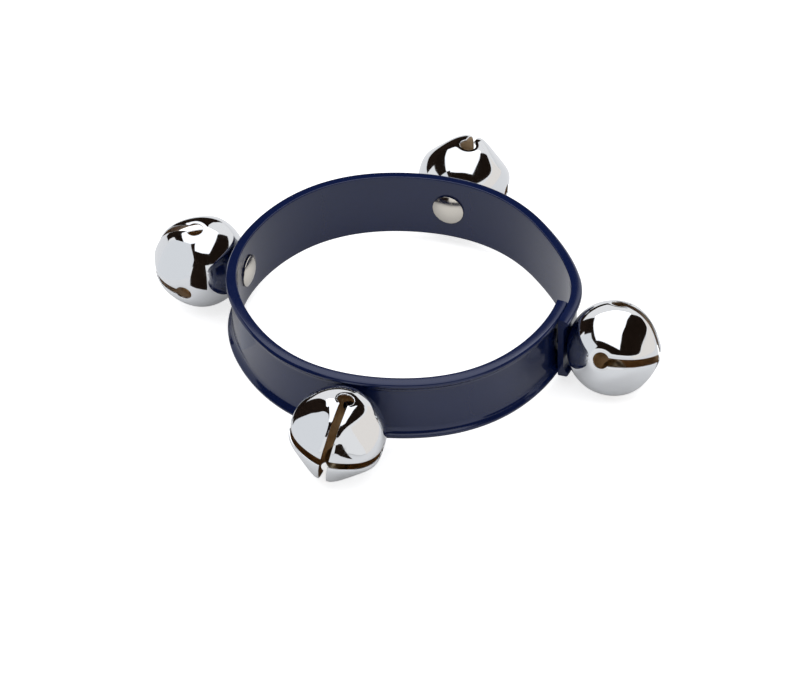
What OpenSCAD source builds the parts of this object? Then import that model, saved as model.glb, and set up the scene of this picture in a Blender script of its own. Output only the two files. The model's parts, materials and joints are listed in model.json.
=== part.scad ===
// Wrist bells: a soft strap ring with four round bells riveted to it.
// Origin at the centre of the wrist opening, +Z along the wrist, +X through the bell on the strap's joint.

/* [Strap] */
// Inside diameter of the strap ring
wrist_d = 75.2; // [60:0.2:90]
// Width of the strap along the wrist
strap_w = 16.2; // [14:0.1:20]
// Thickness of the flat web between the raised edges
web_t = 1.4; // [1:0.1:1.8]
// Thickness of the raised edges
edge_t = 2.6; // [2.2:0.1:3.4]
// Height of each raised edge along the wrist, without the hollow that leads up to it
edge_h = 1.2; // [0.9:0.1:1.8]
// Rounding of the raised edges
edge_r = 0.4; // [0.2:0.05:0.45]
// Length of the inner end past the joint rivet
inner_tail = 3; // [2.5:0.1:5]
// Length of the outer end past the joint rivet
outer_tail = 4; // [2.5:0.1:6]
// Angle over which the strap climbs onto its own inner end
climb = 46; // [40:1:60]

/* [Bells] */
// Place of each bell round the ring, counter-clockwise from the joint
bell_angle = [0, 92, 180, 274]; // [0:1:359]
// Turn of each bell's slots about its rivet, from upright
slot_turn = [21, -6, 11, 12]; // [-45:1:45]
// Diameter of a bell
bell_d = 22; // [20:0.5:25]
// Wall of a bell
bell_wall = 0.7; // [0.5:0.05:1]
// How much flatter than the bell each petal is, as extra radius of its curve
petal_extra_r = 3.8; // [3:0.1:5]
// Centre of a petal's curve, past the bell's axis on the far side
petal_across = 3.7; // [3:0.1:4.2]
// Centre of a petal's curve, below the bell's widest line
petal_down = 3.2; // [2.6:0.1:3.8]
// Width of the slots between the petals
slot_w = 1.9; // [1.2:0.1:2.6]
// Diameter of the round hole at the end of each slot
slot_hole_d = 3.9; // [3:0.1:4.6]
// Diameter of the flat foot that sits on the strap
foot_d = 5; // [4.8:0.1:7]

/* [Rivets] */
// Diameter of a rivet's domed head
head_d = 7.6; // [6:0.1:9]
// Height of a rivet's domed head
head_h = 1.25; // [0.9:0.05:1.8]
// Height of the straight rim under the dome
head_rim_h = 0.3; // [0.2:0.05:0.5]
// Diameter of a rivet's shank
shank_d = 3.2; // [2.6:0.1:3.4]
// Diameter of the hollow in the shank's end
shank_hollow_d = 1.9; // [1:0.1:2.2]
// Depth of the hollow in the shank's end
shank_hollow_h = 1.8; // [1:0.1:2.2]
// Diameter of the tail that is spread inside the bell
tail_d = 4.4; // [3.8:0.1:4.6]
// Height of the tail that is spread inside the bell
tail_h = 0.9; // [0.6:0.05:1.2]

/* [Pellets] */
// Diameter of the loose ball in a bell
pellet_d = 6; // [5:0.1:7]

/* [Fits] */
// Gap round a rivet's shank in its holes
shank_gap = 0.05; // [0.02:0.01:0.1]
// Gap between the two layers of the strap at its joint
layer_gap = 0.05; // [0.02:0.01:0.1]
// Least gap between a bell and the raised edges of the strap
bell_gap = 0.15; // [0.1:0.05:0.4]
// Gap between a resting ball and the wall of its bell
pellet_gap = 0.3; // [0.2:0.05:0.5]
// Gap round a rivet's spread tail on the floor of its bell
tail_gap = 0.1; // [0.05:0.05:0.2]

/* [Hidden] */
$fn = 96;
bells = [0 : len(bell_angle) - 1];
joint_bell = 0;
past = 1;

strap_r = wrist_d / 2;
edge_inside = strap_w / 2 - edge_h;
edge_rise = edge_t - web_t;
layer_step = edge_t + layer_gap;
outer_r = strap_r + layer_step;
inner_end = inner_tail / strap_r * 180 / PI;
outer_end = -outer_tail / outer_r * 180 / PI;
climb_shift = layer_step / (2 * (1 - cos(climb / 2)));
climb_mid = inner_end + climb / 2;
climb_foot = inner_end + climb;
lap = 0.5;
lap_inset = 0.02;

bell_r = bell_d / 2;
cavity_r = bell_r - bell_wall;
petal_r = bell_r + petal_extra_r;
foot_r = foot_d / 2;
edge_drop = sqrt(bell_r * bell_r - edge_inside * edge_inside);
seat_h = max(sqrt(bell_r * bell_r - foot_r * foot_r), edge_drop + edge_rise + bell_gap);
floor_h = seat_h - bell_wall;

head_r = head_d / 2;
head_seat = sqrt(strap_r * strap_r - head_r * head_r);
dome_h = head_h - head_rim_h;
dome_r = (head_r * head_r + dome_h * dome_h) / (2 * dome_h);
hole_d = shank_d + 2 * shank_gap;
tail_r = tail_d / 2;
floor_r = tail_r + tail_gap;

pellet_drop = cavity_r - pellet_d / 2 - pellet_gap;

// Radius of the strap face that a bell's foot sits on
function seat_r(bell) = strap_r + web_t + (bell == joint_bell ? layer_step : 0);

// Unit vector towards an angle round the ring
function towards(angle) = [cos(angle), sin(angle), 0];

// Frame of a bell: origin at the ring's centre, +Z out along the rivet
module out_along(bell) {
    rotate([0, 0, bell_angle[bell]])
        rotate([0, 90, 0])
            children();
}

// One raised edge of the strap, with round corners, drawn in by an inset
module edge_profile(inset) {
    flat_t = edge_t - 2 * edge_r;
    flat_h = edge_h - 2 * edge_r;
    translate([edge_r, inset])
        square([flat_t, edge_h - 2 * inset]);
    translate([inset, edge_r])
        square([edge_t - 2 * inset, flat_h]);
    for (x = [edge_r, edge_r + flat_t], y = [edge_r, edge_r + flat_h])
        translate([x, y])
            circle(r = edge_r - inset);
}

// Half of the strap's section, from its middle line to the top of one raised edge, drawn in by an inset.
// A round hollow leads from the web up to the edge.
module half_profile(inset) {
    hollow_r = edge_rise - edge_r;
    hollow_base = edge_inside - hollow_r;
    translate([inset, 0])
        square([web_t - 2 * inset, edge_inside + edge_r]);
    translate([0, edge_inside])
        edge_profile(inset);
    difference() {
        translate([inset, hollow_base])
            square([edge_t - edge_r - inset, hollow_r + edge_r]);
        translate([edge_t - edge_r, hollow_base])
            circle(r = hollow_r + inset);
    }
}

// Section of the strap, with its inner face on the Y axis, drawn in by an inset
module strap_profile(inset) {
    half_profile(inset);
    mirror([0, 1])
        half_profile(inset);
}

// A stretch of strap bent round a centre
module strap_arc(centre, inner_r, from, to, inset = 0) {
    translate(centre)
        rotate([0, 0, from])
            rotate_extrude(angle = to - from)
                translate([inner_r, 0])
                    strap_profile(inset);
}

// The strap from its outer end over the climb and round to its inner end.
// Every other stretch is drawn in by a hair and runs a little into its neighbours, so that they fuse.
module strap() {
    bend_r = outer_r - climb_shift;
    ease_r = strap_r + climb_shift;
    lap_angle = lap / bend_r * 180 / PI;
    color("#1b2450")
        difference() {
            union() {
                strap_arc([0, 0, 0], outer_r, outer_end, inner_end + lap_angle, lap_inset);
                strap_arc(climb_shift * towards(inner_end), bend_r, inner_end, climb_mid);
                strap_arc(-climb_shift * towards(climb_foot), ease_r, climb_mid - lap_angle,
                    climb_foot + lap_angle, lap_inset);
                strap_arc([0, 0, 0], strap_r, climb_foot, inner_end + 360);
            }
            for (bell = bells)
                out_along(bell)
                    translate([0, 0, strap_r - past])
                        cylinder(d = hole_d, h = layer_step + edge_t + 2 * past);
        }
}

// A ball of radius r, flattened by four petal curves above its widest line
module petal_form(r, curve_r) {
    intersection() {
        sphere(r = r);
        intersection_for (turn = [45 : 90 : 315])
            rotate([0, 0, turn])
                translate([-petal_across, 0, -petal_down])
                    rotate([90, 0, 0])
                        cylinder(r = curve_r, h = 4 * r, center = true);
    }
}

// All of the space above a level below a bell's widest line
module above(level) {
    translate([-bell_d, -bell_d, -level])
        cube([2 * bell_d, 2 * bell_d, level + bell_d]);
}

// The crossing slots and the round holes where they end
module slots() {
    for (turn = [0, 90])
        rotate([0, 0, turn]) {
            translate([-bell_d, -slot_w / 2, 0])
                cube([2 * bell_d, slot_w, bell_d]);
            rotate([0, 90, 0])
                cylinder(d = slot_hole_d, h = 2 * bell_d, center = true);
        }
}

// One stamped shell, centred on its own widest line, with a flat foot and a flat floor over it
module shell() {
    difference() {
        union() {
            intersection() {
                petal_form(bell_r, petal_r);
                above(seat_h);
            }
            translate([0, 0, -seat_h])
                cylinder(r = floor_r, h = bell_wall);
        }
        intersection() {
            petal_form(cavity_r, petal_r - bell_wall);
            above(floor_h);
        }
        translate([0, 0, -floor_h])
            cylinder(r = floor_r, h = floor_h);
        translate([0, 0, -seat_h - past])
            cylinder(d = hole_d, h = seat_h);
        slots();
    }
}

module bell(bell) {
    color("#d3d5d9")
        out_along(bell)
            translate([0, 0, seat_r(bell) + seat_h])
                rotate([0, 0, -slot_turn[bell]])
                    shell();
}

// A semi-tubular rivet: domed head inside the ring, tail spread in the bell's foot
module rivet(bell) {
    grip_top = seat_r(bell) + bell_wall;
    color("#c6c8cc")
        out_along(bell)
            difference() {
                union() {
                    translate([0, 0, head_seat - head_rim_h])
                        cylinder(r = head_r, h = head_rim_h);
                    intersection() {
                        translate([0, 0, head_seat - head_h + dome_r])
                            sphere(r = dome_r);
                        translate([0, 0, head_seat - head_h])
                            cylinder(r = head_r, h = head_h);
                    }
                    translate([0, 0, head_seat - head_rim_h])
                        cylinder(d = shank_d, h = grip_top + tail_h - head_seat + head_rim_h);
                    translate([0, 0, grip_top])
                        cylinder(r = tail_r, h = tail_h);
                }
                translate([0, 0, grip_top + tail_h - shank_hollow_h])
                    cylinder(d = shank_hollow_d, h = shank_hollow_h + past);
            }
}

// The loose ball, at rest on the lowest part of its bell's wall
module pellet(bell) {
    color("#8f9296")
        translate((seat_r(bell) + seat_h) * towards(bell_angle[bell]) - [0, 0, pellet_drop])
            sphere(d = pellet_d);
}

strap();
for (i = bells) {
    bell(i);
    rivet(i);
    pellet(i);
}
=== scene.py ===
# %% [markdown]
# Wrist bells: a ring of soft navy strap with four chromed round bells riveted to it. The CAD frame
# already holds every piece at its place and size, so this lesson gives each piece its finished shape and
# its finish. All lengths are in metres, and MM turns a size in millimetres into one.

# %% Load the frame
import json
import math

import bmesh
import bpy
from mathutils import Matrix, Vector

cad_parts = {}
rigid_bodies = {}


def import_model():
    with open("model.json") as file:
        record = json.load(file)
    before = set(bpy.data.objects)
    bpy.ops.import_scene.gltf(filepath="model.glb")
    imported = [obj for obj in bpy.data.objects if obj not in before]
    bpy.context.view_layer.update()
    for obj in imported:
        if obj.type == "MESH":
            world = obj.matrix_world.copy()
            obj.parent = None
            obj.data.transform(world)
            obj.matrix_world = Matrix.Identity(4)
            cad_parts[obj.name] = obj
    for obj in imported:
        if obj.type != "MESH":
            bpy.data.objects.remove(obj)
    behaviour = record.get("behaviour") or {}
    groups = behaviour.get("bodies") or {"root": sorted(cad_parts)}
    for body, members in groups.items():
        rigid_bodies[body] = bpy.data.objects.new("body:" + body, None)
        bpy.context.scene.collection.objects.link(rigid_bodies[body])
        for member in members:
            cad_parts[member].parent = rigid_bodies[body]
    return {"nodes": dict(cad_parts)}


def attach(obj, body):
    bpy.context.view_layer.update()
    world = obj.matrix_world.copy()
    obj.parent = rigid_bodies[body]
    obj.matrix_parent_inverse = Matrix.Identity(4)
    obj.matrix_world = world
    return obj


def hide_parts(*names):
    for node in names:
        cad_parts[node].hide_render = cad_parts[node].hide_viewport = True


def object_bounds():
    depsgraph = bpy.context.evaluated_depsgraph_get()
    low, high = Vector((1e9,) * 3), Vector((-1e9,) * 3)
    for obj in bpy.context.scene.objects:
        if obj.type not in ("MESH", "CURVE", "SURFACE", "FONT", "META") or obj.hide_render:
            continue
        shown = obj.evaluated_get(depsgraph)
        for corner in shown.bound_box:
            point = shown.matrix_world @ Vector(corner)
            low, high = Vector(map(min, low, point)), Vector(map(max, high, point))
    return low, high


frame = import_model()
cad_box = [list(corner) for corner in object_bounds()]
MM = 0.001
print("nodes:", sorted(frame["nodes"]))
print("CAD box in mm:", [[round(value / MM, 1) for value in corner] for corner in cad_box])

# %% [markdown]
# The camera stands a little over a metre away and looks down at the ring with a long lens, so the near
# and far bells look almost the same size. It could be aimed with a constraint, but turning it by its
# angles keeps the small tilt and roll of a camera on a tripod.

# %% Camera
VIEW_AZIMUTH = math.radians(20.87)
VIEW_ELEVATION = math.radians(37.89)
VIEW_DISTANCE = 1138.8 * MM
AIM_TILT = math.radians(-0.438)
ROLL = math.radians(-1.219)
FOCAL_PX = 4920.9
IMAGE_W_PX = 800
SENSOR_W = 36.0

turn_to_view = Matrix.Rotation(VIEW_AZIMUTH, 4, "Z")
tilt_down = Matrix.Rotation(math.pi / 2 - VIEW_ELEVATION, 4, "X")
step_back = Matrix.Translation((0, 0, VIEW_DISTANCE))
aim = Matrix.Rotation(AIM_TILT, 4, "X") @ Matrix.Rotation(ROLL, 4, "Z")
bpy.ops.object.camera_add()
camera = bpy.context.object
camera.matrix_world = turn_to_view @ tilt_down @ step_back @ aim
camera.data.sensor_width = SENSOR_W
camera.data.lens = FOCAL_PX * SENSOR_W / IMAGE_W_PX
bpy.context.scene.camera = camera
bpy.context.scene.view_settings.view_transform = "Standard"
print("camera at", tuple(round(value, 3) for value in camera.location), "lens", round(camera.data.lens, 1))

# %% [markdown]
# Every material below is a small tree of nodes. One function adds a node, sets its properties and fills
# its inputs, either with a value or with a link from another node. Another turns a colour as it is seen
# on a screen into the linear numbers that shaders work with. A Mix node has several sockets of one name,
# so its colours are found by their places.

# %% Helpers for materials
def linear(hex_colour):
    """An sRGB colour such as 1f2a5c as linear red, green, blue and alpha."""
    channels = [int(hex_colour[i:i + 2], 16) / 255 for i in (0, 2, 4)]
    return [c / 12.92 if c <= 0.04045 else ((c + 0.055) / 1.055) ** 2.4 for c in channels] + [1.0]


def add(tree, kind, inputs=None, **settings):
    """A new node in a tree, with its settings, and its inputs as values or links."""
    new = tree.nodes.new(kind)
    for name, value in settings.items():
        setattr(new, name, value)
    for name, value in (inputs or {}).items():
        if isinstance(value, bpy.types.NodeSocket):
            tree.links.new(value, new.inputs[name])
        else:
            new.inputs[name].default_value = value
    return new


def new_material(name):
    """A material with an empty tree and its output node."""
    material = bpy.data.materials.new(name)
    material.use_nodes = True
    material.node_tree.nodes.clear()
    return material, material.node_tree, material.node_tree.nodes.new("ShaderNodeOutputMaterial")


MIX_A, MIX_B, MIX_RESULT = 6, 7, 2
print("mid grey as linear:", [round(value, 4) for value in linear("808080")])

# %% [markdown]
# The strap is extruded soft PVC: dyed navy all through, with a satin skin that shows faint lines along
# its length where the die dragged. The lines follow the ring, so the pattern is read from the radius and
# the height alone. Real ones are finer, and these are drawn coarse enough to show.

# %% Strap material
LINE_W = 0.45 * MM
MOTTLE_W = 6 * MM


def navy_pvc():
    material, tree, output = new_material("navy_soft_pvc_extruded")
    place = add(tree, "ShaderNodeTexCoord").outputs["Object"]
    axes = add(tree, "ShaderNodeSeparateXYZ", {"Vector": place})
    flat = add(tree, "ShaderNodeCombineXYZ", {"X": axes.outputs["X"], "Y": axes.outputs["Y"]})
    radius = add(tree, "ShaderNodeVectorMath", {0: flat.outputs[0]}, operation="LENGTH")
    along = add(tree, "ShaderNodeCombineXYZ", {"X": radius.outputs["Value"], "Z": axes.outputs["Z"]})
    lines = add(tree, "ShaderNodeTexNoise",
                {"Vector": along.outputs[0], "Scale": 1 / LINE_W, "Detail": 3.0, "Roughness": 0.6})
    mottle = add(tree, "ShaderNodeTexNoise", {"Vector": place, "Scale": 1 / MOTTLE_W, "Detail": 4.0})
    colour = add(tree, "ShaderNodeMix",
                 {"Factor": mottle.outputs["Fac"], MIX_A: linear("0a1538"), MIX_B: linear("0c1940")},
                 data_type="RGBA")
    rough = add(tree, "ShaderNodeMapRange",
                {"Value": mottle.outputs["Fac"], "From Min": 0.3, "From Max": 0.7,
                 "To Min": 0.12, "To Max": 0.17})
    bump = add(tree, "ShaderNodeBump",
               {"Height": lines.outputs["Fac"], "Strength": 0.2, "Distance": 0.01 * MM})
    skin = add(tree, "ShaderNodeBsdfPrincipled",
               {"Base Color": colour.outputs[MIX_RESULT], "Roughness": rough.outputs["Result"],
                "Normal": bump.outputs["Normal"], "IOR": 1.53, "Specular IOR Level": 0.58,
                "Specular Tint": linear("e4e9fa")})
    tree.links.new(skin.outputs["BSDF"], output.inputs["Surface"])
    return material


PVC = navy_pvc()
print("made", PVC.name)

# %% [markdown]
# The bells are plated with bright chrome over a stamped shell. Chrome is a mirror that returns about 70%
# of the light, very slightly blue, and its polish varies a little from place to place.

# %% Chrome material
POLISH_W = 5 * MM
RIPPLE_W = 3.2 * MM


def bright_chrome():
    material, tree, output = new_material("bright_chrome_plated")
    place = add(tree, "ShaderNodeTexCoord").outputs["Object"]
    polish = add(tree, "ShaderNodeTexNoise", {"Vector": place, "Scale": 1 / POLISH_W, "Detail": 5.0})
    rough = add(tree, "ShaderNodeMapRange",
                {"Value": polish.outputs["Fac"], "From Min": 0.35, "From Max": 0.75,
                 "To Min": 0.03, "To Max": 0.09})
    ripple = add(tree, "ShaderNodeTexNoise", {"Vector": place, "Scale": 1 / RIPPLE_W, "Detail": 1.0})
    bump = add(tree, "ShaderNodeBump",
               {"Height": ripple.outputs["Fac"], "Strength": 0.45, "Distance": 0.05 * MM})
    plate = add(tree, "ShaderNodeBsdfPrincipled",
                {"Base Color": linear("dadcdf"), "Metallic": 1.0, "Roughness": rough.outputs["Result"],
                 "Normal": bump.outputs["Normal"]})
    tree.links.new(plate.outputs["BSDF"], output.inputs["Surface"])
    return material


CHROME = bright_chrome()
print("made", CHROME.name)

# %% [markdown]
# Plating hardly reaches the inside of a closed shell, so there the brass shows, dull and tarnished brown.

# %% Bare brass material
TARNISH_W = 2.5 * MM


def dull_brass():
    material, tree, output = new_material("bare_brass_tarnished")
    place = add(tree, "ShaderNodeTexCoord").outputs["Object"]
    tarnish = add(tree, "ShaderNodeTexNoise", {"Vector": place, "Scale": 1 / TARNISH_W, "Detail": 6.0})
    colour = add(tree, "ShaderNodeMix",
                 {"Factor": tarnish.outputs["Fac"], MIX_A: linear("bd9c70"), MIX_B: linear("d4b78e")},
                 data_type="RGBA")
    bump = add(tree, "ShaderNodeBump",
               {"Height": tarnish.outputs["Fac"], "Strength": 0.3, "Distance": 0.1 * MM})
    metal = add(tree, "ShaderNodeBsdfPrincipled",
                {"Base Color": colour.outputs[MIX_RESULT], "Metallic": 1.0, "Roughness": 0.45,
                 "Normal": bump.outputs["Normal"]})
    tree.links.new(metal.outputs["BSDF"], output.inputs["Surface"])
    return material


BRASS = dull_brass()
print("made", BRASS.name)

# %% [markdown]
# The rivets are nickel plated and tumbled: a warm, slightly soft shine with fine rubbed marks.

# %% Nickel material
RUB_W = 0.6 * MM


def warm_nickel():
    material, tree, output = new_material("nickel_plated_tumbled")
    place = add(tree, "ShaderNodeTexCoord").outputs["Object"]
    rub = add(tree, "ShaderNodeTexNoise",
              {"Vector": place, "Scale": 1 / RUB_W, "Detail": 6.0, "Roughness": 0.65})
    rough = add(tree, "ShaderNodeMapRange",
                {"Value": rub.outputs["Fac"], "From Min": 0.3, "From Max": 0.7,
                 "To Min": 0.1, "To Max": 0.22})
    bump = add(tree, "ShaderNodeBump",
               {"Height": rub.outputs["Fac"], "Strength": 0.12, "Distance": 0.03 * MM})
    metal = add(tree, "ShaderNodeBsdfPrincipled",
                {"Base Color": linear("d2cdc4"), "Metallic": 1.0, "Roughness": rough.outputs["Result"],
                 "Normal": bump.outputs["Normal"]})
    tree.links.new(metal.outputs["BSDF"], output.inputs["Surface"])
    return material


NICKEL = warm_nickel()
print("made", NICKEL.name)

# %% [markdown]
# The balls inside are plain steel, scuffed by rattling against the shell, and coloured a darker brown.

# %% Steel material
SCUFF_W = 0.9 * MM


def scuffed_steel():
    material, tree, output = new_material("scuffed_steel_ball")
    place = add(tree, "ShaderNodeTexCoord").outputs["Object"]
    scuff = add(tree, "ShaderNodeTexNoise", {"Vector": place, "Scale": 1 / SCUFF_W, "Detail": 8.0})
    rough = add(tree, "ShaderNodeMapRange",
                {"Value": scuff.outputs["Fac"], "From Min": 0.3, "From Max": 0.7,
                 "To Min": 0.25, "To Max": 0.5})
    bump = add(tree, "ShaderNodeBump",
               {"Height": scuff.outputs["Fac"], "Strength": 0.4, "Distance": 0.06 * MM})
    metal = add(tree, "ShaderNodeBsdfPrincipled",
                {"Base Color": linear("94866f"), "Metallic": 1.0, "Roughness": rough.outputs["Result"],
                 "Normal": bump.outputs["Normal"]})
    tree.links.new(metal.outputs["BSDF"], output.inputs["Surface"])
    return material


STEEL = scuffed_steel()
print("made", STEEL.name)

# %% [markdown]
# Operators act on whatever is selected, so each piece starts from an empty selection, and faces, edges
# and points are picked by a test on their place.

# %% Helpers for modelling
HAIR = 0.001 * MM
SMOOTH = math.radians(35)


def fresh():
    """Back to object mode with nothing selected."""
    if bpy.context.object and bpy.context.object.mode == "EDIT":
        bpy.ops.object.mode_set(mode="OBJECT")
    bpy.ops.object.select_all(action="DESELECT")


def pick(kind, test):
    """In edit mode, selects the verts, edges or faces that pass a test, and nothing else."""
    modes = {"verts": "VERT", "edges": "EDGE", "faces": "FACE"}
    bpy.ops.mesh.select_mode(type=modes[kind])
    bpy.ops.mesh.select_all(action="DESELECT")
    form = bmesh.from_edit_mesh(bpy.context.object.data)
    for element in getattr(form, kind):
        element.select_set(test(element))
    form.select_flush_mode()
    bmesh.update_edit_mesh(bpy.context.object.data)


def move(x=0.0, y=0.0, z=0.0):
    """Extrudes what is selected and moves it."""
    bpy.ops.mesh.extrude_region_move(TRANSFORM_OT_translate={"value": (x, y, z)})


def settle(piece, material, body, node, smooth=SMOOTH):
    """Gives a finished piece its shading, finish and body, and puts it in place of its CAD node."""
    fresh()
    piece.select_set(True)
    bpy.context.view_layer.objects.active = piece
    bpy.ops.object.transform_apply(location=True, rotation=True, scale=True)
    bpy.ops.object.shade_smooth_by_angle(angle=smooth)
    if not piece.data.materials:
        piece.data.materials.append(material)
    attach(piece, body)
    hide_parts(node)
    piece.data.calc_loop_triangles()
    print(piece.name, len(piece.data.loop_triangles), "triangles")


print("helpers ready")

# %% [markdown]
# The strap is one extrusion with a thin web and a thick edge on each side, and a round hollow leads up to
# each edge. Its section is drawn once: a plane for the web, extruded up and out at both ends. The edges
# then get their slight slope, and bevelling rounds each kind of corner by its own radius. The hollows
# come last, because their new points would pass the test for the lips.

# %% Strap section
WRIST_R = 37.6 * MM
STRAP_W = 16.2 * MM
WEB_T = 1.4 * MM
EDGE_T = 2.6 * MM
EDGE_H = 1.2 * MM
EDGE_R = 0.65 * MM
BACK_R = 0.3 * MM
LIP_R = 0.22 * MM
HOLLOW_R = 1.0 * MM
SHOULDER = 0.9 * MM
EDGE_SLOPE = math.radians(6)
LAYER_GAP = 0.05 * MM
CORNER_STEPS = 6
ROWS = 15

edge_inside = STRAP_W / 2 - EDGE_H
outer_r = WRIST_R + EDGE_T + LAYER_GAP
web_face = outer_r + WEB_T

fresh()
bpy.ops.mesh.primitive_plane_add(size=1, rotation=(math.pi / 2, 0, 0))
strap = bpy.context.object
strap.name = "strap_band"
strap.scale = (WEB_T, 2 * edge_inside, 1)
strap.location.x = outer_r + WEB_T / 2
bpy.ops.object.transform_apply(location=True, rotation=True, scale=True)
bpy.ops.object.mode_set(mode="EDIT")
for side in (1, -1):
    pick("verts", lambda v: v.co.z * side > edge_inside - HAIR)
    move(z=side * EDGE_H)
    pick("verts", lambda v: v.co.z * side > edge_inside - HAIR and v.co.x > web_face - HAIR)
    move(x=EDGE_T - WEB_T)
bpy.ops.mesh.select_all(action="SELECT")
bpy.ops.mesh.dissolve_faces()


def within_a_side(v):
    """A point that an extrusion left in the middle of a straight side."""
    on_back = abs(v.co.x - outer_r) < HAIR and abs(v.co.z) < STRAP_W / 2 - HAIR
    on_end = abs(v.co.x - web_face) < HAIR and abs(v.co.z) > edge_inside + HAIR
    return on_back or on_end


pick("verts", within_a_side)
bpy.ops.mesh.dissolve_verts()
pick("verts", lambda v: v.co.x > web_face + HAIR and abs(v.co.z) > edge_inside + HAIR)
lower = 1 - EDGE_T * math.tan(EDGE_SLOPE) / (STRAP_W / 2)
bpy.ops.transform.resize(value=(1, 1, lower), center_override=(0, 0, 0))
pick("verts", lambda v: abs(v.co.x - web_face) < HAIR)
bpy.ops.transform.resize(value=(1, 1, 1 - SHOULDER / edge_inside), center_override=(0, 0, 0))
corners = (
    (BACK_R, lambda v: abs(v.co.x - outer_r) < HAIR),
    (LIP_R, lambda v: v.co.x > web_face + HAIR and abs(v.co.z) < edge_inside + HAIR),
    (EDGE_R, lambda v: v.co.x > outer_r + EDGE_T - HAIR and abs(v.co.z) > edge_inside + EDGE_R),
    (HOLLOW_R, lambda v: abs(v.co.x - web_face) < HAIR),
)
for radius, test in corners:
    pick("verts", test)
    bpy.ops.mesh.bevel(offset=radius, segments=CORNER_STEPS, affect="VERTICES")
bpy.ops.mesh.select_all(action="SELECT")
bpy.ops.mesh.delete(type="ONLY_FACE")
pick("edges", lambda e: e.calc_length() > edge_inside)
bpy.ops.mesh.subdivide(number_cuts=ROWS)
print("section points:", len(bmesh.from_edit_mesh(strap.data).verts))

# %% [markdown]
# The strap lies outside its own inner end at the joint and climbs down onto the ring in an S of two arcs.
# Spinning the section about each arc's centre in turn follows that path, and the last loop of one spin
# starts the next. The rivets hold the soft ring, and between them it bows a little in and out by turns.

# %% Strap sweep
INNER_TAIL = 3 * MM
OUTER_TAIL = 4 * MM
CLIMB = math.radians(46)
SPIN_STEP = math.radians(1.2)
BOW = 0.85 * MM
BOW_WAVES = 2
BOW_POWER = 3

inner_end = INNER_TAIL / WRIST_R
outer_end = -OUTER_TAIL / outer_r
climb_foot = inner_end + CLIMB
climb_shift = (outer_r - WRIST_R) / (2 * (1 - math.cos(CLIMB / 2)))


def towards(angle):
    """Unit vector at an angle round the ring."""
    return Vector((math.cos(angle), math.sin(angle), 0))


stretches = [
    (inner_end - outer_end, Vector((0, 0, 0))),
    (CLIMB / 2, climb_shift * towards(inner_end)),
    (CLIMB / 2, -climb_shift * towards(climb_foot)),
    (2 * math.pi + inner_end - climb_foot, Vector((0, 0, 0))),
]
bpy.ops.object.mode_set(mode="OBJECT")
strap.rotation_euler.z = outer_end
bpy.ops.object.transform_apply(rotation=True)
bpy.ops.object.mode_set(mode="EDIT")
bpy.ops.mesh.select_all(action="SELECT")
for angle, centre in stretches:
    bpy.ops.mesh.spin(steps=round(angle / SPIN_STEP), angle=-angle, center=centre, axis=(0, 0, 1))
bpy.ops.mesh.select_all(action="SELECT")
bpy.ops.mesh.remove_doubles(threshold=HAIR)
bpy.ops.mesh.fill_holes(sides=0)
bpy.ops.mesh.normals_make_consistent(inside=False)
bpy.ops.object.mode_set(mode="OBJECT")
for vertex in strap.data.vertices:
    angle = math.atan2(vertex.co.y, vertex.co.x)
    vertex.co -= BOW * math.sin(BOW_WAVES * angle) ** BOW_POWER * towards(angle)
low, high = strap.bound_box[0], strap.bound_box[6]
print("strap box in mm:", [[round(value / MM, 2) for value in corner] for corner in (low, high)])

# %% [markdown]
# A hole is punched through the strap for each rivet, and at the joint it goes through both layers. Pins
# stand where the rivets will go, and one Boolean takes them all out.

# %% Rivet holes
BELL_ANGLES = [math.radians(a) for a in (0, 92, 180, 274)]
SHANK_HOLE_D = 3.3 * MM
PIN_L = 12 * MM
PIN_SIDES = 48

cutters = bpy.data.collections.new("cutters")
bpy.context.scene.collection.children.link(cutters)


def as_cutter():
    """Puts the new primitive among the cutters."""
    cutter = bpy.context.object
    bpy.ops.object.transform_apply(location=True, rotation=True, scale=True)
    for home in list(cutter.users_collection):
        home.objects.unlink(cutter)
    cutters.objects.link(cutter)


def cut_away(piece):
    """Cuts all the cutters out of a piece and throws them away."""
    fresh()
    piece.select_set(True)
    bpy.context.view_layer.objects.active = piece
    cut = piece.modifiers.new("cut", "BOOLEAN")
    cut.operation = "DIFFERENCE"
    cut.operand_type = "COLLECTION"
    cut.collection = cutters
    cut.solver = "MANIFOLD"
    bpy.ops.object.modifier_apply(modifier=cut.name)
    piece.data.materials.clear()
    for cutter in list(cutters.objects):
        bpy.data.objects.remove(cutter)


for angle in BELL_ANGLES:
    fresh()
    bpy.ops.mesh.primitive_cylinder_add(vertices=PIN_SIDES, radius=SHANK_HOLE_D / 2, depth=PIN_L,
                                        location=WRIST_R * towards(angle), rotation=(0, math.pi / 2, angle))
    as_cutter()
faces_before = len(strap.data.polygons)
cut_away(strap)
print("strap faces before and after the holes:", faces_before, len(strap.data.polygons))
settle(strap, PVC, "ring", "strap")

# %% [markdown]
# A bell starts as a ball. Stamping and closing it leaves four flatter petals on its nose half. A finely
# divided cube has even faces all over, so each of its points is pressed in along its own ray to the ball
# or to the nearest of four wide curves, blended softly where they meet. Closing the petals draws the nose
# to a slight point. First the points are drawn towards the middle lines of the cube's sides, because the
# slots and holes will lie there and need the finest mesh.

# %% Bell form
BELL_R = 11 * MM
FOOT_R = 2.5 * MM
PETAL_R = 14.8 * MM
PETAL_ACROSS = 3.7 * MM
PETAL_DOWN = 3.2 * MM
BLEND = 0.3 * MM
NOSE_POINT = 0.38 * MM
NOSE_POWER = 4
FORM_CUTS = 63
MIDDLE_STEP = 0.5
PRESSES = 5
seat_h = math.sqrt(BELL_R ** 2 - FOOT_R ** 2)


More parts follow.
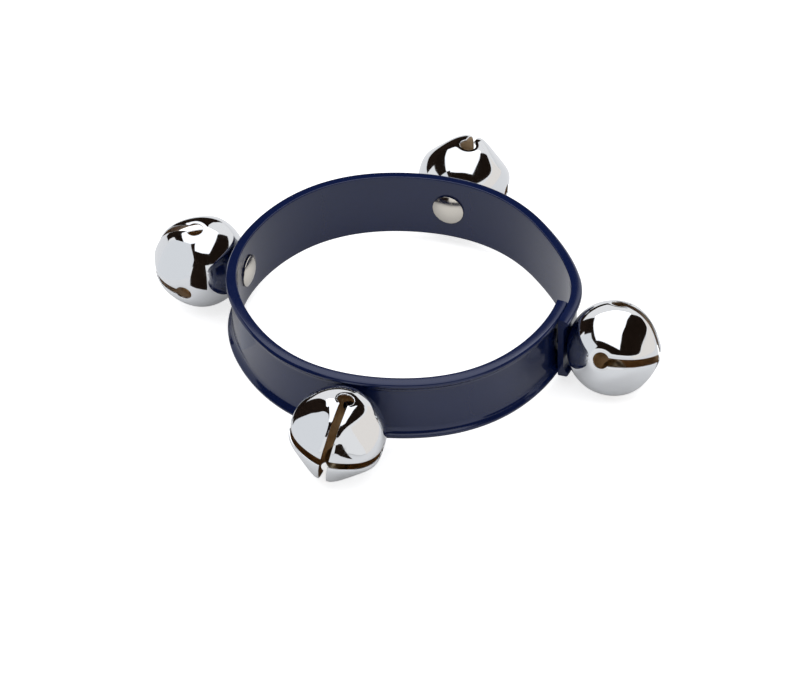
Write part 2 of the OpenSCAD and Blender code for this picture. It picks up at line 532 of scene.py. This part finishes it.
def outside(point):
    """How far a point lies outside the pressed ball, with its soft blends and slight point."""
    reach = [point.length - BELL_R]
    for k in range(4):
        across = point.dot(towards(math.pi / 4 + k * math.pi / 2))
        reach.append(math.hypot(across + PETAL_ACROSS, point.z + PETAL_DOWN) - PETAL_R)
    most = max(reach)
    blended = most + BLEND * math.log(sum(math.exp((r - most) / BLEND) for r in reach))
    return blended - NOSE_POINT * max(0, point.normalized().z) ** NOSE_POWER


fresh()
bpy.ops.mesh.primitive_cube_add(size=2 * BELL_R)
shell = bpy.context.object
shell.name = "bell_shell"
bpy.ops.object.mode_set(mode="EDIT")
bpy.ops.mesh.subdivide(number_cuts=FORM_CUTS)
bpy.ops.object.mode_set(mode="OBJECT")
for vertex in shell.data.vertices:
    for axis in range(3):
        share = vertex.co[axis] / BELL_R
        vertex.co[axis] *= MIDDLE_STEP + (1 - MIDDLE_STEP) * share ** 2
    for _ in range(PRESSES):
        vertex.co -= outside(vertex.co) * vertex.co.normalized()
print("ball faces:", len(shell.data.polygons))

# %% [markdown]
# Two slots cross at the nose and end in round holes at the widest line. Plain blocks and pins cut them
# out of the solid ball in one Boolean, and the walls that this leaves inside are deleted, so a thin skin
# with clean openings is left, like the punched sheet. The foot is cut flat, with a hole for the rivet.

# %% Bell slots
SLOT_W = 1.9 * MM
SLOT_HOLE_D = 3.9 * MM
SLOT_HOLE_SIDES = 64
PAST = 2 * MM
RIM_MERGE = 0.07 * MM
SKIN_MERGE = 0.1 * MM
FOOT_ZONE = -BELL_R / 2

for turn in (0, math.pi / 2):
    fresh()
    bpy.ops.mesh.primitive_cube_add(size=1, location=(0, 0, BELL_R), rotation=(0, 0, turn),
                                    scale=(2 * BELL_R + PAST, SLOT_W, 2 * BELL_R))
    as_cutter()
    fresh()
    bpy.ops.mesh.primitive_cylinder_add(vertices=SLOT_HOLE_SIDES, radius=SLOT_HOLE_D / 2,
                                        depth=2 * BELL_R + PAST, rotation=(math.pi / 2, 0, turn))
    as_cutter()
cut_away(shell)

bpy.ops.object.mode_set(mode="EDIT")
pick("faces", lambda f: outside(f.calc_center_median()) < -RIM_MERGE)
bpy.ops.mesh.delete(type="FACE")
bpy.ops.mesh.select_all(action="SELECT")
bpy.ops.mesh.bisect(plane_co=(0, 0, -seat_h), plane_no=(0, 0, 1), use_fill=True, clear_inner=True,
                    threshold=HAIR)
pick("faces", lambda f: abs(f.calc_center_median().z + seat_h) < HAIR)
bpy.ops.mesh.inset(thickness=FOOT_R - SHANK_HOLE_D / 2)
bpy.ops.mesh.delete(type="FACE")
pick("verts", lambda v: v.is_boundary and v.co.z > FOOT_ZONE)
bpy.ops.mesh.remove_doubles(threshold=RIM_MERGE)
pick("verts", lambda v: not v.is_boundary and v.co.z > FOOT_ZONE)
bpy.ops.mesh.remove_doubles(threshold=SKIN_MERGE, use_unselected=True)
bpy.ops.object.mode_set(mode="OBJECT")
print("skin faces:", len(shell.data.polygons))

# %% [markdown]
# Punching draws the sheet in a little along every slot and round every hole. Points near an opening are
# pressed in by a soft curve of their distance from its rim, which is what catches the bright lines there.
# Drawing also thins the sheet, so a vertex group notes how much of the wall is left at each point.

# %% Drawn-in rims
LIP_DEPTH = 0.16 * MM
LIP_W = 0.55 * MM
RIM_WALL = 0.5


def to_rim(point):
    """Distance of a point on the skin from the rim of the nearest slot or hole."""
    gaps = []
    for side in (point.x, point.y):
        gaps.append(math.hypot(side, point.z) - SLOT_HOLE_D / 2)
        if point.z > 0:
            gaps.append(abs(side) - SLOT_W / 2)
    return max(0, min(gaps))


wall_left = shell.vertex_groups.new(name="wall_left")
for vertex in shell.data.vertices:
    drawn = math.exp(-(to_rim(vertex.co) / LIP_W) ** 2)
    vertex.co -= LIP_DEPTH * drawn * vertex.co.normalized()
    wall_left.add([vertex.index], 1 - (1 - RIM_WALL) * drawn, "REPLACE")
print("rims drawn in by", round(LIP_DEPTH / MM, 2), "mm")

# %% [markdown]
# The four bells are copies of that skin, each stood on the strap at its own angle, with its slots turned
# as it happened to be riveted. Polishing leaves each one a little wavy in its own way, and a Displace
# modifier with a soft noise gives that before Solidify gives the wall. The plating covers the outside and
# the cut edges.

# %% Bells in place
WALL = 0.7 * MM
SLOT_TURNS = [math.radians(a) for a in (21, -6, 11, 12)]
JOINT = 0
WAVE_W = 6 * MM
WAVE_DEPTH = 0.12 * MM
EDGE_ROUND = 0.09 * MM
EDGE_STEPS = 2
EDGE_SHARP = math.radians(60)
BELL_SMOOTH = math.radians(40)

waves = bpy.data.textures.new("waves", "CLOUDS")
waves.noise_scale = WAVE_W
waves.noise_depth = 1


def seat_r(index):
    """Radius of the strap face that a bell sits on."""
    return WRIST_R + WEB_T + (outer_r - WRIST_R if index == JOINT else 0)


def out_along(index):
    """Frame of a bell: origin at the ring's centre, +Z out along its rivet."""
    return Matrix.Rotation(BELL_ANGLES[index], 4, "Z") @ Matrix.Rotation(math.pi / 2, 4, "Y")


for index in range(len(BELL_ANGLES)):
    fresh()
    bell = shell.copy()
    bell.data = shell.data.copy()
    bell.name = f"bell_chrome_{index + 1}"
    bpy.context.scene.collection.objects.link(bell)
    stand = Matrix.Translation((0, 0, seat_r(index) + seat_h)) @ Matrix.Rotation(-SLOT_TURNS[index], 4, "Z")
    bell.matrix_world = out_along(index) @ stand
    bell.select_set(True)
    bpy.context.view_layer.objects.active = bell
    bell.data.materials.append(CHROME)
    bell.data.materials.append(BRASS)
    wavy = bell.modifiers.new("waves", "DISPLACE")
    wavy.texture = waves
    wavy.texture_coords = "GLOBAL"
    wavy.strength = WAVE_DEPTH
    bpy.ops.object.modifier_apply(modifier=wavy.name)
    wall = bell.modifiers.new("wall", "SOLIDIFY")
    wall.thickness = WALL
    wall.offset = -1
    wall.material_offset = 1
    wall.vertex_group = wall_left.name
    bpy.ops.object.modifier_apply(modifier=wall.name)
    bpy.ops.object.mode_set(mode="EDIT")
    bpy.ops.mesh.select_mode(type="EDGE")
    bpy.ops.mesh.select_all(action="DESELECT")
    bpy.ops.mesh.edges_select_sharp(sharpness=EDGE_SHARP)
    bpy.ops.mesh.bevel(offset=EDGE_ROUND, segments=EDGE_STEPS, affect="EDGES")
    settle(bell, CHROME, "ring", f"bell_{index + 1}", smooth=BELL_SMOOTH)
bpy.data.objects.remove(shell)
bpy.data.collections.remove(cutters)

# %% [markdown]
# A rivet is turned up from a disc: a low dome inside the ring, a shank through the strap, and a tail
# spread on the floor of the bell, with the hollow that lets it spread.

# %% Rivets
HEAD_D = 7.6 * MM
HEAD_H = 1.25 * MM
HEAD_RIM_H = 0.3 * MM
SHANK_D = 3.2 * MM
TAIL_D = 4.4 * MM
TAIL_H = 0.9 * MM
TAIL_HOLLOW_D = 1.9 * MM
TAIL_HOLLOW_H = 1.8 * MM
RIVET_SIDES = 72
DOME_RINGS = 14
RIVET_ROUND = 0.1 * MM
RIVET_STEPS = 3
RIVET_SHARP = math.radians(50)
FACING = 0.9

head_seat = math.sqrt(WRIST_R ** 2 - (HEAD_D / 2) ** 2)
dome_h = HEAD_H - HEAD_RIM_H
dome_r = ((HEAD_D / 2) ** 2 + dome_h ** 2) / (2 * dome_h)


def widen(factor):
    """Scales what is selected about the rivet's axis."""
    bpy.ops.transform.resize(value=(factor, factor, 1), center_override=(0, 0, 0))


def make_rivet(name, grip_top):
    """A rivet along +Z, with its head's seat at head_seat and its tail on grip_top."""
    fresh()
    bpy.ops.mesh.primitive_circle_add(vertices=RIVET_SIDES, radius=HEAD_D / 2, fill_type="NGON",
                                      location=(0, 0, head_seat))
    rivet = bpy.context.object
    rivet.name = name
    bpy.ops.object.transform_apply(location=True)
    bpy.ops.object.mode_set(mode="EDIT")
    bpy.ops.mesh.select_all(action="SELECT")
    move(z=-HEAD_RIM_H)
    radius = HEAD_D / 2
    for ring in range(1, DOME_RINGS):
        next_radius = HEAD_D / 2 * math.cos(math.pi / 2 * ring / DOME_RINGS)
        rise = math.sqrt(dome_r ** 2 - next_radius ** 2) - math.sqrt(dome_r ** 2 - radius ** 2)
        move(z=-rise)
        widen(next_radius / radius)
        radius = next_radius
    pick("faces", lambda f: f.normal.z > FACING and f.calc_center_median().z > head_seat - HAIR)
    bpy.ops.mesh.inset(thickness=(HEAD_D - SHANK_D) / 2)
    move(z=grip_top - head_seat)
    move()
    widen(TAIL_D / SHANK_D)
    move(z=TAIL_H)
    bpy.ops.mesh.inset(thickness=(TAIL_D - TAIL_HOLLOW_D) / 2)
    move(z=-TAIL_HOLLOW_H)
    bpy.ops.mesh.select_mode(type="EDGE")
    bpy.ops.mesh.select_all(action="DESELECT")
    bpy.ops.mesh.edges_select_sharp(sharpness=RIVET_SHARP)
    bpy.ops.mesh.bevel(offset=RIVET_ROUND, segments=RIVET_STEPS, affect="EDGES")
    bpy.ops.mesh.select_all(action="SELECT")
    bpy.ops.mesh.remove_doubles(threshold=HAIR)
    bpy.ops.mesh.normals_make_consistent(inside=False)
    return rivet


for index in range(len(BELL_ANGLES)):
    rivet = make_rivet(f"rivet_nickel_{index + 1}", seat_r(index) + WALL)
    bpy.ops.object.mode_set(mode="OBJECT")
    rivet.matrix_world = out_along(index)
    settle(rivet, NICKEL, "ring", f"rivet_{index + 1}")

# %% [markdown]
# The ball that rattles in each bell was tumbled with thousands of others, so it is round but not perfect.
# A fine ball is dented a little by a noise, and lies on the lowest part of the wall.

# %% Balls
BALL_D = 6 * MM
BALL_GAP = 0.3 * MM
BALL_FINENESS = 5
DENT_W = 1.6 * MM
DENT_DEPTH = 0.05 * MM
ball_drop = BELL_R - WALL - BALL_D / 2 - BALL_GAP

dents = bpy.data.textures.new("dents", "CLOUDS")
dents.noise_scale = DENT_W
for index in range(len(BELL_ANGLES)):
    fresh()
    bpy.ops.mesh.primitive_ico_sphere_add(subdivisions=BALL_FINENESS, radius=BALL_D / 2)
    ball = bpy.context.object
    ball.name = f"pellet_steel_{index + 1}"
    ball.location = (seat_r(index) + seat_h) * towards(BELL_ANGLES[index]) - Vector((0, 0, ball_drop))
    dented = ball.modifiers.new("dents", "DISPLACE")
    dented.texture = dents
    dented.strength = -DENT_DEPTH
    dented.mid_level = 0
    dented.texture_coords = "GLOBAL"
    bpy.ops.object.modifier_apply(modifier=dented.name)
    settle(ball, STEEL, f"pellet_{index + 1}", f"pellet_{index + 1}")

# %% [markdown]
# The studio is a white sheet that the ring lies on. It stays white to the camera and to mirrors, and the
# light that falls on it still carries the ring's soft shadow. The world beyond is white as well.

# %% White sheet and world
FLOOR_SIZE = 12.0
FLOOR_DROP = 0.02 * MM
SHEET_GLOW = 0.68
MIRROR_GLOW = 0.12
FILL = 0.55

floor_z = cad_box[0][2] - FLOOR_DROP
fresh()
bpy.ops.mesh.primitive_plane_add(size=FLOOR_SIZE, location=(0, 0, floor_z))
floor = bpy.context.object
floor.name = "white_sheet"
material, tree, output = new_material("white_matt_sheet")
path = add(tree, "ShaderNodeLightPath")
mirrored = add(tree, "ShaderNodeMath",
               {0: path.outputs["Is Glossy Ray"], 1: path.outputs["Is Transmission Ray"]}, use_clamp=True)
dimmer = add(tree, "ShaderNodeMath", {0: mirrored.outputs[0], 1: MIRROR_GLOW}, operation="MULTIPLY")
glow = add(tree, "ShaderNodeMath", {0: path.outputs["Is Camera Ray"], 1: SHEET_GLOW, 2: dimmer.outputs[0]},
           operation="MULTIPLY_ADD")
lit = add(tree, "ShaderNodeBsdfDiffuse", {"Color": linear("d8d8d8")})
shine = add(tree, "ShaderNodeEmission", {"Strength": glow.outputs[0]})
both = add(tree, "ShaderNodeAddShader", {0: lit.outputs[0], 1: shine.outputs[0]})
tree.links.new(both.outputs[0], output.inputs["Surface"])
floor.data.materials.append(material)

world = bpy.data.worlds.new("white_studio")
world.use_nodes = True
bpy.context.scene.world = world
tree = world.node_tree
tree.nodes.clear()
path = add(tree, "ShaderNodeLightPath")
mirrored = add(tree, "ShaderNodeMath",
               {0: path.outputs["Is Glossy Ray"], 1: path.outputs["Is Transmission Ray"]})
seen = add(tree, "ShaderNodeMath",
           {0: mirrored.outputs[0], 1: path.outputs["Is Camera Ray"]}, use_clamp=True)
fill = add(tree, "ShaderNodeBackground", {"Color": linear("ffffff"), "Strength": FILL})
backdrop = add(tree, "ShaderNodeBackground", {"Color": linear("ffffff"), "Strength": 1.0})
mixed = add(tree, "ShaderNodeMixShader", {0: seen.outputs[0], 1: fill.outputs[0], 2: backdrop.outputs[0]})
add(tree, "ShaderNodeOutputWorld", {"Surface": mixed.outputs[0]})
print("floor at", round(floor_z / MM, 2), "mm")

# %% [markdown]
# One wide softbox hangs over the ring and reaches further behind it. Chrome shows the whole room, so the
# room matters as much as the lamp. A tent of dark felt stands round the table, and pale cards stand in
# it: the next two cells make them.

# %% Softbox
SOFTBOX_H = 1.2
SOFTBOX_LEFT = -1.07
SOFTBOX_RIGHT = 0.84
SOFTBOX_NEAR = -0.78
SOFTBOX_FAR = 1.12
SOFTBOX_TURN = math.radians(-10)
SOFTBOX_RADIANCE = 1.5

across = towards(VIEW_AZIMUTH)
away = towards(VIEW_AZIMUTH + math.pi / 2)


def studio(right, back, height):
    """A place, from the ring's centre: to the right of the picture, away from the camera, and up."""
    return right * across + back * away + Vector((0, 0, height))


softbox_w = SOFTBOX_RIGHT - SOFTBOX_LEFT
softbox_l = SOFTBOX_FAR - SOFTBOX_NEAR
softbox_middle = studio((SOFTBOX_LEFT + SOFTBOX_RIGHT) / 2, (SOFTBOX_NEAR + SOFTBOX_FAR) / 2, SOFTBOX_H)
fresh()
bpy.ops.object.light_add(type="AREA", location=softbox_middle, rotation=(0, 0, VIEW_AZIMUTH + SOFTBOX_TURN))
softbox = bpy.context.object
softbox.name = "softbox"
softbox.data.shape = "RECTANGLE"
softbox.data.size = softbox_w
softbox.data.size_y = softbox_l
softbox.data.energy = SOFTBOX_RADIANCE * math.pi * softbox_w * softbox_l
softbox.data.color = linear("fbfcff")[:3]
softbox.visible_camera = False
print("softbox watts:", round(softbox.data.energy, 2))

# %% [markdown]
# The felt and the cards are there for the reflections alone. They are stage pieces that the camera
# doesn't see, and they neither light nor shade anything. The felt is a drum with a lid. Its sides end
# 0.8 m above the table, except behind on the left, where they reach it.

# %% Felt
FELT_R = 2.0
FELT_H = 3.0
FELT_LOW = FELT_R * math.tan(math.radians(22))
FELT_SIDES = 120
TO_TABLE = (math.radians(163), math.radians(250))


def only_in_mirrors(thing, name, glow):
    """Gives a stage piece a felt skin that may glow, and shows it in reflections only."""
    material, tree, output = new_material(name)
    skin = add(tree, "ShaderNodeBsdfPrincipled",
               {"Base Color": linear("2a201a"), "Roughness": 1.0, "Specular IOR Level": 0.0,
                "Emission Color": linear(glow), "Emission Strength": 1.0})
    tree.links.new(skin.outputs["BSDF"], output.inputs["Surface"])
    thing.data.materials.append(material)
    thing.visible_camera = False
    thing.visible_diffuse = False
    thing.visible_shadow = False


def cut_off(face):
    """Whether a face of the drum goes: its floor, or a lower side where the felt is off the table."""
    place = face.calc_center_median()
    seen_at = math.atan2(place.dot(across), -place.dot(away)) % (2 * math.pi)
    lower_side = abs(face.normal.z) < FACING and place.z < FELT_LOW
    return face.normal.z < -FACING or (lower_side and not TO_TABLE[0] < seen_at < TO_TABLE[1])


fresh()
bpy.ops.mesh.primitive_cylinder_add(vertices=FELT_SIDES, radius=FELT_R, depth=FELT_H - floor_z,
                                    location=(0, 0, (FELT_H + floor_z) / 2))
felt = bpy.context.object
felt.name = "dark_felt"
bpy.ops.object.transform_apply(location=True)
bpy.ops.object.mode_set(mode="EDIT")
bpy.ops.mesh.select_all(action="SELECT")
bpy.ops.mesh.bisect(plane_co=(0, 0, FELT_LOW), plane_no=(0, 0, 1), threshold=HAIR)
pick("faces", cut_off)
bpy.ops.mesh.delete(type="FACE")
bpy.ops.object.mode_set(mode="OBJECT")
only_in_mirrors(felt, "brown_black_felt", "000000")
print("felt faces:", len(felt.data.polygons))

# %% [markdown]
# Each card is pale for some pieces and looks like felt to the rest: a photographer would move it between
# shots, and light linking does that here, because it names the pieces that a card shines on. The hem of
# the left card is dark for all. Two cards hang just inside the felt. The others stand near the ring, and
# each is given by the two ends of its lower and of its upper edge.

# %% Cards
CARD_R = 1.95
GAP = (math.radians(128), math.radians(163))
GAP_LOW = 0.7
FAR = (math.radians(163), math.radians(220))
FAR_LOW = CARD_R * math.tan(math.radians(9))
LEFT_FOOT = ((-0.116, -0.13, floor_z), (-0.0765, 0.03, floor_z))
LEFT_TOP = ((-0.116, -0.13, 0.105), (-0.0865, -0.01, 0.105))
HEM = ((-0.093, -0.13, 0.114), (-0.0635, -0.01, 0.114))
FRONT_FOOT = ((-0.067, -0.11, floor_z), (-0.0571, -0.0215, floor_z))
FRONT_TOP = ((-0.067, -0.11, 0.0926), (-0.0769, -0.0476, 0.0926))
FLAG_FOOT = ((-0.057, -0.0135, floor_z), (-0.0412, -0.004, floor_z))
FLAG_TOP = ((-0.057, -0.0135, 0.016), (-0.0412, -0.004, 0.016))
BAR_FOOT = ((-0.018, -0.117, 0.003), (0.022, -0.107, -0.007))
BAR_TOP = ((-0.018, -0.117, 0.017), (0.018, -0.108, 0.007))
RIGHT_FOOT = ((0.35, -0.3, floor_z), (0.35, 0.3, floor_z))
RIGHT_TOP = ((0.35, -0.3, 0.12), (0.35, 0.3, 0.12))

right_bell, back_bell, left_bell, front_bell = [f"bell_chrome_{number}" for number in (1, 2, 3, 4)]
rivets = tuple(f"rivet_nickel_{number}" for number in (1, 2, 3, 4))


def stand_card(name, foot, top, glow="000000", lit_for=()):
    """A card between a lower and an upper edge, which glows for the named pieces alone."""
    fresh()
    bpy.ops.mesh.primitive_plane_add(size=1)
    card = bpy.context.object
    card.name = name
    for vertex, corner in zip(card.data.vertices, foot + top):
        vertex.co = studio(*corner)
    only_in_mirrors(card, name + "_skin", glow)
    receivers = bpy.data.collections.new(name + "_receivers")
    for piece_name in lit_for:
        receivers.objects.link(bpy.data.objects[piece_name])
    card.light_linking.receiver_collection = receivers
    print(name, "is lit for", len(lit_for), "pieces")


def at_felt(ends, height):
    """Two places just inside the felt, at angles round the table from the camera."""
    return [(CARD_R * math.sin(angle), -CARD_R * math.cos(angle), height) for angle in ends]


stand_card("gap_card", at_felt(GAP, GAP_LOW), at_felt(GAP, FELT_H), "ffffff",
           lit_for=(strap.name, right_bell, back_bell, left_bell) + rivets)
stand_card("far_card", at_felt(FAR, FAR_LOW), at_felt(FAR, FELT_H), "ffffff",
           lit_for=(right_bell, front_bell))
stand_card("left_card", LEFT_FOOT, LEFT_TOP, "f1f4f7", lit_for=(right_bell, back_bell, left_bell))
stand_card("left_hem", LEFT_TOP, HEM)
stand_card("front_card", FRONT_FOOT, FRONT_TOP, "f1f4f7", lit_for=(right_bell, back_bell, front_bell))
stand_card("left_flag", FLAG_FOOT, FLAG_TOP, "cbcfd6", lit_for=(strap.name,))
stand_card("front_bar", BAR_FOOT, BAR_TOP, "f0f0f0", lit_for=(strap.name, right_bell, back_bell, left_bell))
stand_card("right_card", RIGHT_FOOT, RIGHT_TOP, "fdf8f2",
           lit_for=(right_bell, back_bell, left_bell, front_bell))
